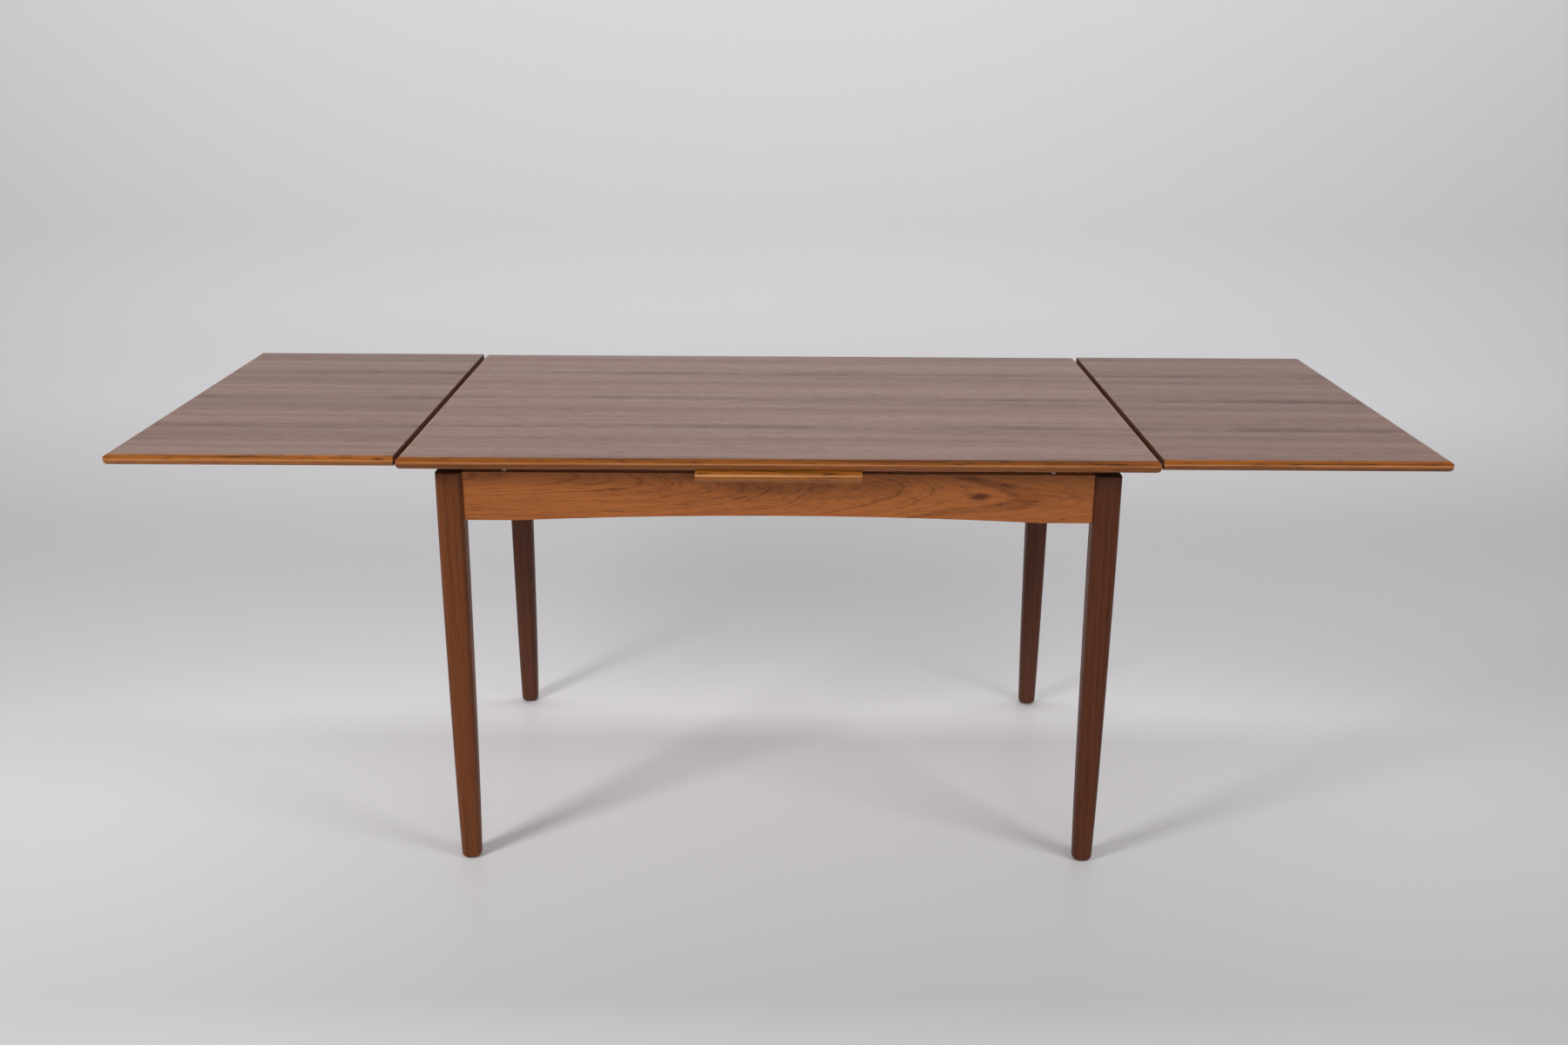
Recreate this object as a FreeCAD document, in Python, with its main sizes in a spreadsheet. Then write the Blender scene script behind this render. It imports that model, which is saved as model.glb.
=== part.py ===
import FreeCAD, Part
import os
import Sketcher

# Draw leaf dining table in teak, shown with both leaves drawn out.
# The long side runs along X, the width along Y and the height along Z.
# The origin lies on the floor under the middle of the table.

SIZES = {
    "table_height": 731.5,
    "top_length": 1200.0,
    "top_width": 807.0,
    "top_thickness": 18.5,
    "lipping_width": 9.0,
    "nose_over": 8.0,
    "nose_under": 6.0,
    "nose_drop": 7.5,
    "nose_bulge": 1.0,
    "nose_round": 3.0,
    "corner_round": 8.0,
    "leaf_length": 454.5,
    "leaf_thinner": 2.1,
    "leaf_rise": 1.8,
    "leaf_play": 0.6,
    "leaf_gap": 2.3,
    "leaf_setback": 2.9,
    "leaf_arris": 0.8,
    "leaf_edge_band": 4.0,
    "board_width": 262.0,
    "board_extra": 1.0,
    "board_setback": 1.0,
    "leg_x": 528.2,
    "leg_y": 332.4,
    "leg_width": 44.2,
    "leg_corner": 12.0,
    "leg_block": 90.0,
    "leg_upper_z": 400.0,
    "leg_upper_width": 42.5,
    "leg_lower_z": 225.0,
    "leg_lower_width": 39.7,
    "leg_ankle_z": 60.0,
    "leg_ankle_width": 35.4,
    "leg_foot_width": 32.9,
    "leg_foot_round": 8.0,
    "leg_top_round": 2.5,
    "apron_height": 80.3,
    "apron_thickness": 24.0,
    "apron_recess": 8.6,
    "arch_half_span": 422.0,
    "arch_rise": 9.8,
    "end_arch_half_span": 250.0,
    "end_arch_rise": 8.0,
    "tenon_length": 12.0,
    "tenon_thickness": 10.0,
    "tenon_shoulder": 14.0,
    "rail_thickness": 25.0,
    "rail_height": 60.0,
    "runner_width": 24.0,
    "runner_depth": 27.0,
    "runner_tail": 29.0,
    "runner_end_inset": 24.0,
    "runner_clearance": 0.6,
    "right_runner_y": 200.0,
    "left_runner_y": 240.0,
    "screw_head": 8.0,
    "screw_shank": 4.0,
    "dowel_diameter": 9.0,
    "dowel_length": 42.0,
    "peg_diameter": 20.0,
    "peg_length": 48.0,
    "peg_socket": 10.0,
    "peg_taper": 2.5,
    "peg_x": 70.0,
    "peg_clearance": 0.5,
    "glide_diameter": 7.0,
    "glide_height": 1.2,
    "glide_x": 441.0,
}

# Corner radius of the leg as a share of its width, from the foot upwards.
CORNER_SHARES = (0.42, 0.38, 0.33, 0.3)
# Places of the runner screws as shares of the leaf's length, from its inner edge.
SCREW_SHARES = (0.2, 0.55, 0.9)


class Size:
    """A length together with the expression that drives it."""

    def __init__(self, text, value):
        self.text = text
        self.value = value

    def __add__(self, other):
        other = as_size(other)
        return Size(f"({self.text} + {other.text})", self.value + other.value)

    def __sub__(self, other):
        other = as_size(other)
        return Size(f"({self.text} - {other.text})", self.value - other.value)

    def __mul__(self, other):
        other = as_size(other)
        return Size(f"({self.text} * {other.text})", self.value * other.value)

    def __truediv__(self, other):
        other = as_size(other)
        return Size(f"({self.text} / {other.text})", self.value / other.value)

    def __neg__(self):
        return Size(f"(0 - {self.text})", -self.value)


def as_size(number):
    if isinstance(number, Size):
        return number
    return Size(repr(float(number)), float(number))


doc = FreeCAD.newDocument("draw_leaf_table")
sheet = doc.addObject("Spreadsheet::Sheet", "Sizes")
for row, (alias, number) in enumerate(SIZES.items(), start=1):
    sheet.set(f"A{row}", alias)
    sheet.set(f"B{row}", str(number))
    sheet.setAlias(f"B{row}", alias)
doc.recompute()


def S(alias):
    return Size(f"Sizes.{alias}", SIZES[alias])


# How far a cutting outline runs past the piece that it trims.
past = S("lipping_width") / 4

pieces = []


def keep(thing, label):
    """Name a finished piece and list it for writing."""
    thing.Label = label
    pieces.append(thing)
    return thing


def bind(thing, **sizes):
    for name, size in sizes.items():
        thing.setExpression(name, as_size(size).text)


def place(thing, x=None, y=None, z=None):
    for axis, size in (("x", x), ("y", y), ("z", z)):
        if size is not None:
            thing.setExpression(f"Placement.Base.{axis}", as_size(size).text)


def turn_about_z(thing, turned):
    """Swing a piece of the right leaf round to the left leaf."""
    if turned:
        turn = FreeCAD.Rotation(FreeCAD.Vector(0, 0, 1), 180)
        thing.Placement = FreeCAD.Placement(FreeCAD.Vector(0, 0, 0), turn)


def new_body(name, turned=False):
    body = doc.addObject("PartDesign::Body", name)
    turn_about_z(body, turned)
    return body


def origin_plane(body, role):
    return next(item for item in body.Origin.OriginFeatures if item.Role == role)


def arc_through(start, end, radius):
    """The short arc of a signed radius: positive bulges to the right of start to end."""
    chord = end - start
    side = FreeCAD.Vector(chord.y, -chord.x, 0).normalize()
    half = chord.Length / 2
    rise = abs(radius) - (radius * radius - half * half) ** 0.5
    middle = (start + end) * 0.5 + side * (rise if radius > 0 else -rise)
    return Part.Arc(start, middle, end)


def outline(body, name, role, points, offset=None):
    """A closed sketch: each point is (u, v) or (u, v, radius, side of the arc that follows)."""
    sketch = body.newObject("Sketcher::SketchObject", name)
    sketch.AttachmentSupport = [(origin_plane(body, role), "")]
    sketch.MapMode = "FlatFace"
    if offset is not None:
        sketch.setExpression("AttachmentOffset.Base.z", as_size(offset).text)
    corners = [FreeCAD.Vector(as_size(p[0]).value, as_size(p[1]).value, 0) for p in points]
    count = len(points)
    for index, point in enumerate(points):
        start = corners[index]
        end = corners[(index + 1) % count]
        if len(point) == 2:
            sketch.addGeometry(Part.LineSegment(start, end), False)
        else:
            arc = arc_through(start, end, point[2].value * point[3])
            sketch.addGeometry(arc.toShape().Curve.trim(*arc.toShape().ParameterRange), False)
    ends = []
    for index in range(count):
        first = sketch.getPoint(index, 1)
        forward = first.distanceToPoint(corners[index]) < 0.001
        ends.append((1, 2) if forward else (2, 1))
    for index in range(count):
        follower = (index + 1) % count
        sketch.addConstraint(Sketcher.Constraint(
            "Coincident", index, ends[index][1], follower, ends[follower][0]))
    for index, point in enumerate(points):
        for kind, size, value in (("DistanceX", point[0], corners[index].x),
                                  ("DistanceY", point[1], corners[index].y)):
            number = sketch.addConstraint(Sketcher.Constraint(
                kind, -1, 1, index, ends[index][0], value))
            sketch.setExpression(f"Constraints[{number}]", as_size(size).text)
        if len(point) > 2:
            number = sketch.addConstraint(Sketcher.Constraint("Radius", index, point[2].value))
            sketch.setExpression(f"Constraints[{number}]", point[2].text)
    return sketch


def pad(body, sketch, length):
    feature = body.newObject("PartDesign::Pad", sketch.Name + "_pad")
    feature.Profile = sketch
    feature.SideType = "Symmetric"
    bind(feature, Length=length)
    return feature


def pocket(body, sketch, length):
    feature = body.newObject("PartDesign::Pocket", sketch.Name + "_pocket")
    feature.Profile = sketch
    feature.SideType = "Symmetric"
    bind(feature, Length=length)
    return feature


def rectangle(left, right, low, high):
    return [(left, low), (right, low), (right, high), (left, high)]


def box(name, x, y, z, turned=False):
    """A plain box from the three pairs of limits."""
    thing = new_body(name, turned)
    sketch = outline(thing, name + "_plan", "XY_Plane", rectangle(x[0], x[1], y[0], y[1]),
                     (z[0] + z[1]) / 2)
    pad(thing, sketch, z[1] - z[0])
    return thing


def cylinder(name, diameter, height, x, y, z, turned=False):
    thing = doc.addObject("Part::Cylinder", name)
    bind(thing, Radius=as_size(diameter) / 2, Height=height)
    turn_about_z(thing, turned)
    place(thing, -x if turned else x, -y if turned else y, z)
    return thing


def compound(name, things):
    thing = doc.addObject("Part::Compound", name)
    thing.Links = things
    return thing


def cut(name, base, tool):
    thing = doc.addObject("Part::Cut", name)
    thing.Base = base
    thing.Tool = tool
    return thing


def nose_trim(edge, outward, low, high, drop):
    """The outline of all that lies outside a rounded board edge at u = edge."""
    under = S("nose_under")
    over = S("nose_over")
    rise = high - low - drop
    bulge = S("nose_bulge")
    upper_radius = (over * over + drop * drop + bulge * bulge * 4) / (bulge * 8)
    lower_radius = (under * under + rise * rise + bulge * bulge * 4) / (bulge * 8)
    step = 1 if outward > 0 else -1
    top_u = edge - over * step
    low_u = edge - under * step
    far = edge + past * (2 * step)
    return [
        (top_u, high + past),
        (far, high + past),
        (far, low - past),
        (low_u, low - past),
        (low_u, low, lower_radius, step),
        (edge, high - drop, upper_radius, step),
        (top_u, high),
    ]


def edges_at(feature, height):
    names = []
    for number, edge in enumerate(feature.Shape.Edges, start=1):
        limits = edge.BoundBox
        if abs(limits.ZMin - height) < 0.01 and abs(limits.ZMax - height) < 0.01:
            names.append(f"Edge{number}")
    return names


def round_over(body, name, base, height, radius):
    doc.recompute()
    feature = body.newObject("PartDesign::Fillet", name)
    feature.Base = (base, edges_at(base, height.value))
    bind(feature, Radius=radius)
    return feature


def round_corner(body, name, corner, steps):
    """Take the point off a board's corner, seen from above."""
    x, y = corner
    radius = S("corner_round")
    x_in = x - radius * steps[0]
    y_in = y - radius * steps[1]
    x_out = x + past * steps[0]
    y_out = y + past * steps[1]
    points = [(x, y_in, radius, steps[0] * steps[1]), (x_in, y), (x_in, y_out), (x_out, y_out),
              (x_out, y_in)]
    pocket(body, outline(body, name, "XY_Plane", points), S("table_height") * 3)


def edged_piece(name, plan, low, high, drop, role, edge, outward, turned=False, corners=()):
    """A lipping: a plan outline padded to the board's thickness, with one softly pointed edge."""
    body = new_body(name, turned)
    pad(body, outline(body, name + "_plan", "XY_Plane", plan, (low + high) / 2), high - low)
    trim = outline(body, name + "_nose", role, nose_trim(edge, outward, low, high, drop))
    shaped = pocket(body, trim, S("top_length") * 3)
    round_over(body, name + "_tip", shaped, high - drop, S("nose_round"))
    for number, (corner, steps) in enumerate(corners):
        round_corner(body, f"{name}_corner_{number}", corner, steps)
    return body


half_length = S("top_length") / 2
half_width = S("top_width") / 2
top_z = S("table_height")
top_low = top_z - S("top_thickness")
lip = S("lipping_width")

# The centre board is a little thicker than the top and each leaf a little thinner, so that
# a closed leaf lies clear between the frame and the top.
board_thickness = S("top_thickness") + S("board_extra")
leaf_thickness = S("top_thickness") - S("leaf_thinner")
frame_z = top_low - board_thickness

# Main top: a veneered panel with mitred solid lippings, loose on the centre board.
panel = box("main_panel_blank", (lip - half_length, half_length - lip),
            (lip - half_width, half_width - lip), (top_low, top_z))
pegs = []
for index, step in enumerate((-1, 1)):
    peg_x = S("peg_x") * step
    tip = S("peg_taper") * 2
    shaft = cylinder(f"peg_shaft_{index}", S("peg_diameter"), S("peg_length") - tip, peg_x,
                     as_size(0), top_low + S("peg_socket") - S("peg_length") + tip)
    point = doc.addObject("Part::Cone", f"peg_point_{index}")
    bind(point, Radius1=S("peg_diameter") / 2 - S("peg_taper"), Radius2=S("peg_diameter") / 2,
         Height=tip)
    place(point, peg_x, as_size(0), top_low + S("peg_socket") - S("peg_length"))
    peg = doc.addObject("Part::Fuse", f"peg_{index}")
    peg.Base = shaft
    peg.Tool = point
    pegs.append(peg)
guide_pegs = keep(compound("guide_pegs_group", pegs), "top_guide_pegs")
keep(cut("main_panel_cut", panel, guide_pegs), "top_panel")

for label, step in (("top_lipping_front", -1), ("top_lipping_back", 1)):
    outer = (half_width + past) * step
    inner = (half_width - lip) * step
    plan = [(-(half_length + past), outer), (half_length + past, outer),
            (half_length - lip, inner), (lip - half_length, inner)]
    corners = [((half_length * end, half_width * step), (end, step)) for end in (-1, 1)]
    keep(edged_piece(label + "_body", plan, top_low, top_z, S("nose_drop"), "YZ_Plane",
                     half_width * step, step, corners=corners), label)
for label, step in (("top_lipping_left", -1), ("top_lipping_right", 1)):
    outer = (half_length + past) * step
    inner = (half_length - lip) * step
    plan = [(outer, -(half_width + past)), (outer, half_width + past),
            (inner, half_width - lip), (inner, lip - half_width)]
    corners = [((half_length * step, half_width * side), (step, side)) for side in (-1, 1)]
    keep(edged_piece(label + "_body", plan, top_low, top_z, S("nose_drop"), "XZ_Plane",
                     half_length * step, step, corners=corners), label)

# Centre board: fixed across the frame between the two leaves, with lipped front and back edges.
board_half = S("board_width") / 2
board_reach = half_width - S("board_setback")
board_drop = S("nose_drop") * board_thickness / S("top_thickness")
board = box("board_blank", (-board_half, board_half), (lip - board_reach, board_reach - lip),
            (frame_z, top_low))
holes = [cylinder(f"peg_hole_{index}", S("peg_diameter") + S("peg_clearance") * 2,
                  board_thickness + past * 2, S("peg_x") * step, as_size(0),
                  frame_z - past)
         for index, step in enumerate((-1, 1))]
keep(cut("board_cut", board, compound("peg_holes", holes)), "centre_board_panel")
for label, step in (("centre_board_lipping_front", -1), ("centre_board_lipping_back", 1)):
    outer = (board_reach + past) * step
    inner = (board_reach - lip) * step
    plan = [(-board_half, outer), (board_half, outer), (board_half, inner), (-board_half, inner)]
    keep(edged_piece(label + "_body", plan, frame_z, top_low, board_drop, "YZ_Plane",
                     board_reach * step, step), label)


# Legs: a rounded square block at the aprons, then a slender taper that quickens to the foot.
def rounded_square(body, name, width, corner, height):
    far = width / 2
    near = far - corner
    points = [(-near, -far), (near, -far, corner, 1), (far, -near), (far, near, corner, 1),
              (near, far), (-near, far, corner, 1), (-far, near), (-far, -near, corner, 1)]
    return outline(body, name, "XY_Plane", points, height)


leg_half = S("leg_width") / 2
apron_mid = leg_half - S("apron_recess") - S("apron_thickness") / 2
apron_low = frame_z - S("apron_height")
tenon_high = frame_z - S("tenon_shoulder")
tenon_low = apron_low + S("tenon_shoulder")
tenon_half = S("tenon_thickness") / 2

for label, x_step, y_step in (("leg_front_left", -1, -1), ("leg_front_right", 1, -1),
                              ("leg_back_left", -1, 1), ("leg_back_right", 1, 1)):
    leg = new_body(label + "_body")
    block_z = frame_z - S("leg_block")
    stations = ((as_size(0), S("leg_foot_width")), (S("leg_ankle_z"), S("leg_ankle_width")),
                (S("leg_lower_z"), S("leg_lower_width")), (S("leg_upper_z"), S("leg_upper_width")))
    sections = [rounded_square(leg, f"{label}_section_{number}", width, width * share, height)
                for number, ((height, width), share) in enumerate(zip(stations, CORNER_SHARES))]
    sections.append(rounded_square(leg, label + "_section_block", S("leg_width"),
                                   S("leg_corner"), block_z))
    taper = leg.newObject("PartDesign::AdditiveLoft", label + "_taper")
    taper.Profile = sections[0]
    taper.Sections = sections[1:]
    head = pad(leg, rounded_square(leg, label + "_block", S("leg_width"), S("leg_corner"),
                                   frame_z - S("leg_block") / 2), S("leg_block"))
    crown = round_over(leg, label + "_crown", head, frame_z, S("leg_top_round"))
    round_over(leg, label + "_toe", crown, as_size(0), S("leg_foot_round"))
    # The mortises of the long apron and of the end apron, cut in from the inner faces.
    middle = apron_mid * y_step
    mortise = outline(leg, label + "_mortise_long", "YZ_Plane",
                      rectangle(middle - tenon_half, middle + tenon_half, tenon_low, tenon_high),
                      leg_half * -x_step)
    pocket(leg, mortise, S("tenon_length") * 2)
    middle = apron_mid * x_step
    mortise = outline(leg, label + "_mortise_end", "XZ_Plane",
                      rectangle(middle - tenon_half, middle + tenon_half, tenon_low, tenon_high),
                      leg_half * y_step)
    pocket(leg, mortise, S("tenon_length") * 2)
    place(leg, S("leg_x") * x_step, S("leg_y") * y_step)
    keep(leg, label)


# Aprons: arched boards with a stub tenon at each end.
def apron(name, role, reach, half_span, rise):
    body = new_body(name)
    arch_radius = (half_span * half_span + rise * rise) / (rise * 2)
    points = [(-reach, apron_low), (-half_span, apron_low, arch_radius, -1),
              (half_span, apron_low), (reach, apron_low), (reach, frame_z), (-reach, frame_z)]
    pad(body, outline(body, name + "_face", role, points), S("apron_thickness"))
    length = S("tenon_length")
    for number, step in enumerate((-1, 1)):
        root = (reach - length) * step
        tip = (reach + length) * step
        tenon = outline(body, f"{name}_tenon_{number}", role,
                        rectangle(root, tip, tenon_low, tenon_high))
        pad(body, tenon, S("tenon_thickness"))
    return body


long_reach = S("leg_x") - leg_half
end_reach = S("leg_y") - leg_half
glides = []
for label, y_step in (("apron_front", -1), ("apron_back", 1)):
    board = apron(label + "_body", "XZ_Plane", long_reach, S("arch_half_span"), S("arch_rise"))
    apron_y = (S("leg_y") + apron_mid) * y_step
    place(board, y=apron_y)
    keep(board, label)
    for x_step in (-1, 1):
        glides.append(cylinder(f"glide_{len(glides)}", S("glide_diameter"), S("glide_height"),
                               S("glide_x") * x_step, apron_y, frame_z))
keep(compound("glides_group", glides), "apron_glides")

# Runner line: the leaf travels along it. It runs from the end of the main top down past the
# edge of the centre board, and takes a leaf from just above the top to just under it.
slope = (S("top_thickness") + S("leaf_rise") + S("leaf_play")) / (half_length - board_half)
leaf_inner = half_length + S("leaf_gap")
leaf_outer = leaf_inner + S("leaf_length")
leaf_top = top_z + S("leaf_rise")
leaf_low = leaf_top - leaf_thickness


def runner_top(x):
    return top_low - S("runner_clearance") - (half_length - x) * slope


def runner_low(x):
    return runner_top(x) - S("runner_depth")


runner_half = S("runner_width") / 2
notch_half = runner_half + S("runner_clearance")
end_mid = S("leg_x") + apron_mid
for label, x_step, runner_y in (("apron_left", -1, S("left_runner_y")),
                                ("apron_right", 1, S("right_runner_y"))):
    board = apron(label + "_body", "YZ_Plane", end_reach, S("end_arch_half_span"),
                  S("end_arch_rise"))
    sill = runner_low(end_mid - S("apron_thickness") / 2) - S("runner_clearance")
    for number, y_step in enumerate((-1, 1)):
        middle = runner_y * y_step
        notch = outline(board, f"{label}_notch_{number}", "YZ_Plane",
                        rectangle(middle - notch_half, middle + notch_half, sill,
                                  frame_z + past))
        pocket(board, notch, S("apron_thickness") * 2)
    place(board, end_mid * x_step)
    keep(board, label)

# Centre rail under the centre board, notched for the tails of all four runners.
rail_half = S("rail_thickness") / 2
rail_reach = S("leg_y") + apron_mid - S("apron_thickness") / 2
rail = box("rail_body", (-rail_half, rail_half), (-rail_reach, rail_reach),
           (frame_z - S("rail_height"), frame_z))
sill = runner_low(-rail_half) - S("runner_clearance")
for number, middle in enumerate((-S("left_runner_y"), -S("right_runner_y"),
                                 S("right_runner_y"), S("left_runner_y"))):
    notch = outline(rail, f"rail_notch_{number}", "YZ_Plane",
                    rectangle(middle - notch_half, middle + notch_half, sill, frame_z + past))
    pocket(rail, notch, S("rail_thickness") * 2)
keep(rail, "centre_rail")

# Leaves: built on the right and swung half a turn about Z for the left.
leaf_reach = half_width - S("leaf_setback")
strip_x = leaf_inner + S("leaf_edge_band")
leaf_nose_drop = S("nose_drop") * leaf_thickness / S("top_thickness")


def ease_inner_edge(body, name):
    """Round the upper arris of the square inner edge, which passes under the main top."""
    arris = S("leaf_arris")
    points = [(leaf_inner, leaf_top - arris, arris, -1), (leaf_inner + arris, leaf_top),
              (leaf_inner + arris, leaf_top + past), (leaf_inner - past, leaf_top + past),
              (leaf_inner - past, leaf_top - arris)]
    pocket(body, outline(body, name + "_ease", "XZ_Plane", points), S("top_width") * 2)


def leaf(side, turned, runner_y):
    panel = box(side + "_leaf_blank", (strip_x, leaf_outer - lip), (lip - leaf_reach, leaf_reach - lip),
                (leaf_low, leaf_top), turned)
    back_step = -1 if turned else 1
    for name, step in (("front", -back_step), ("back", back_step)):
        outer = (leaf_reach + past) * step
        inner = (leaf_reach - lip) * step
        plan = [(leaf_inner, outer), (leaf_outer + past, outer), (leaf_outer - lip, inner),
                (leaf_inner, inner)]
        label = f"{side}_leaf_lipping_{name}"
        corners = [((leaf_outer, leaf_reach * step), (1, step))]
        lipping = edged_piece(label + "_body", plan, leaf_low, leaf_top, leaf_nose_drop, "YZ_Plane",
                              leaf_reach * step, step, turned, corners)
        ease_inner_edge(lipping, label)
        keep(lipping, label)
    plan = [(leaf_outer + past, -(leaf_reach + past)), (leaf_outer + past, leaf_reach + past),
            (leaf_outer - lip, leaf_reach - lip), (leaf_outer - lip, lip - leaf_reach)]
    label = side + "_leaf_lipping_end"
    corners = [((leaf_outer, leaf_reach * step), (1, step)) for step in (-1, 1)]
    keep(edged_piece(label + "_body", plan, leaf_low, leaf_top, leaf_nose_drop, "XZ_Plane",
                     leaf_outer, 1, turned, corners), label)

    # The inner edge is cut square, with an eased upper arris.
    label = side + "_leaf_inner_strip"
    strip = box(label + "_body", (leaf_inner, strip_x), (lip - leaf_reach, leaf_reach - lip),
                (leaf_low, leaf_top), turned)
    ease_inner_edge(strip, label)
    keep(strip, label)

    # Tapered runners, their screws up into the panel, and a stop dowel through each tail.
    tail_x = -S("runner_tail")
    end_x = leaf_outer - S("runner_end_inset")
    screws = []
    dowels = []
    blanks = []
    for step in (-1, 1):
        middle = runner_y * step
        name = f"{side}_runner_{len(blanks)}"
        blank = new_body(name, turned)
        points = [(tail_x, runner_low(tail_x)), (end_x, runner_low(end_x)), (end_x, leaf_low),
                  (leaf_inner, leaf_low), (leaf_inner, runner_top(leaf_inner)),
                  (tail_x, runner_top(tail_x))]
        face = outline(blank, name + "_face", "XZ_Plane", points, -middle)
        pad(blank, face, S("runner_width"))
        blanks.append(blank)
        for number, share in enumerate(SCREW_SHARES):
            screw_x = leaf_inner + S("leaf_length") * share
            head_z = runner_low(screw_x) + S("screw_head") / 4
            key = f"{name}_screw_{number}"
            shank = cylinder(key + "_shank", S("screw_shank"), leaf_low + leaf_thickness / 2 - head_z,
                             screw_x, middle, head_z, turned)
            head = doc.addObject("Part::Cone", key + "_head")
            bind(head, Radius1=S("screw_head") / 2, Radius2=S("screw_shank") / 2,
                 Height=S("screw_head") / 3)
            turn_about_z(head, turned)
            place(head, -screw_x if turned else screw_x, -middle if turned else middle, head_z)
            screw = doc.addObject("Part::Fuse", key)
            screw.Base = shank
            screw.Tool = head
            screws.append(screw)
        dowel_x = -(rail_half + S("dowel_diameter") / 2 + S("runner_clearance"))
        dowel = cylinder(name + "_dowel", S("dowel_diameter"), S("dowel_length"), dowel_x,
                         middle, runner_top(dowel_x) - S("runner_depth") / 2, turned)
        dowels.append((dowel, dowel_x, middle))
    for dowel, dowel_x, middle in dowels:
        back = FreeCAD.Rotation(FreeCAD.Vector(1, 0, 0), -90)
        dowel.Placement = FreeCAD.Placement(dowel.Placement.Base, back)
        start = (-middle if turned else middle) - S("dowel_length") / 2
        place(dowel, y=start)
    screw_group = keep(compound(side + "_screws_group", screws), side + "_runner_screws")
    dowel_group = keep(compound(side + "_dowels_group", [item[0] for item in dowels]),
                       side + "_runner_stops")
    keep(cut(side + "_leaf_panel_cut", panel, screw_group), side + "_leaf_panel")
    for number, blank in enumerate(blanks):
        at_back = (number == 1) != turned
        bored = cut(f"{side}_runner_bored_{number}", blank, dowel_group)
        # A clear hole under each screw head lets the screw in from below.
        access = []
        for index, share in enumerate(SCREW_SHARES):
            screw_x = leaf_inner + S("leaf_length") * share
            middle = runner_y * (-1, 1)[number]
            access.append(cylinder(f"{side}_access_{number}_{index}", S("screw_head"),
                                   S("screw_head"), screw_x, middle,
                                   runner_low(screw_x) - S("screw_head") * 3 / 4, turned))
        opened = cut(f"{side}_runner_opened_{number}", bored,
                     compound(f"{side}_access_group_{number}", access))
        label = f"{side}_runner_{'back' if at_back else 'front'}"
        keep(cut(f"{side}_runner_drilled_{number}", opened, screw_group), label)


leaf("right", False, S("right_runner_y"))
leaf("left", True, S("left_runner_y"))

doc.recompute()
for thing in doc.Objects:
    if "Invalid" in thing.State or "Error" in thing.State:
        raise RuntimeError(f"{thing.Label} did not rebuild: {thing.State}")
for thing in pieces:
    if thing.Shape.isNull() or not thing.Shape.isValid() or not thing.Shape.Solids:
        raise RuntimeError(f"{thing.Label} has no sound shape")

os.makedirs("parts", exist_ok=True)
for thing in pieces:
    thing.Shape.exportStep(f"parts/{thing.Label}.step")
    print(thing.Label, len(thing.Shape.Solids), round(thing.Shape.Volume, 1))
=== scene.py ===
import math

import bpy
from mathutils import Matrix, Vector

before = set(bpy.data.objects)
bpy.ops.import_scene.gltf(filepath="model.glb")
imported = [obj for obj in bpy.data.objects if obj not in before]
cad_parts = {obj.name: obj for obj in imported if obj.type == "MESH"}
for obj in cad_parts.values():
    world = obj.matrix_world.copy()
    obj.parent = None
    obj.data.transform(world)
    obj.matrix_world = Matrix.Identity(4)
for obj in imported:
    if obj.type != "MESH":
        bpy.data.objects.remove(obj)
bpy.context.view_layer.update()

scene = bpy.context.scene
scene.view_settings.view_transform = "Standard"

# Wood as it looks on each part of the table: pale, deep and cut end, in linear colour. The cut end
# colour is partly real dark end grain and partly painted shade in narrow gaps between parts.
TOP_TONES = ((0.224, 0.105, 0.067, 1), (0.084, 0.028, 0.012, 1), (0.075, 0.020, 0.007, 1))
LEAF_TONES = ((0.199, 0.0925, 0.055, 1), (0.074, 0.026, 0.010, 1), (0.085, 0.021, 0.006, 1))
EDGE_TONES = ((0.245, 0.070, 0.006, 1), (0.036, 0.008, 0.001, 1), (0.060, 0.016, 0.005, 1))
# Painted light and shade: the left leaf's edges are lighter and the right leaf's darker, as lit
# from the left.
LEFT_EDGE_LIT_TONES = ((0.400, 0.125, 0.012, 1), (0.075, 0.019, 0.002, 1), (0.060, 0.016, 0.006, 1))
RIGHT_EDGE_SHADED_TONES = ((0.292, 0.082, 0.005, 1), (0.050, 0.012, 0.001, 1), (0.060, 0.016, 0.006, 1))
BOARD_EDGE_TONES = ((0.350, 0.115, 0.014, 1), (0.065, 0.017, 0.002, 1), (0.090, 0.026, 0.008, 1))
APRON_TONES = ((0.335, 0.104, 0.025, 1), (0.085, 0.022, 0.006, 1), (0.120, 0.036, 0.012, 1))
LEG_TONES = ((0.150, 0.042, 0.011, 1), (0.040, 0.011, 0.004, 1), (0.075, 0.024, 0.012, 1))
DARK_LEG_TONES = ((0.092, 0.024, 0.008, 1), (0.026, 0.007, 0.003, 1), (0.055, 0.018, 0.010, 1))
BACK_LEG_TONES = ((0.110, 0.036, 0.017, 1), (0.032, 0.010, 0.006, 1), (0.055, 0.018, 0.010, 1))
BEECH_TONES = ((0.520, 0.340, 0.180, 1), (0.330, 0.190, 0.090, 1), (0.270, 0.155, 0.075, 1))
FELT_TONES = ((0.86, 0.85, 0.82, 1), (0.97, 0.96, 0.94, 1))
ZINC_TONES = ((0.42, 0.41, 0.38, 1), (0.62, 0.61, 0.58, 1))

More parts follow.
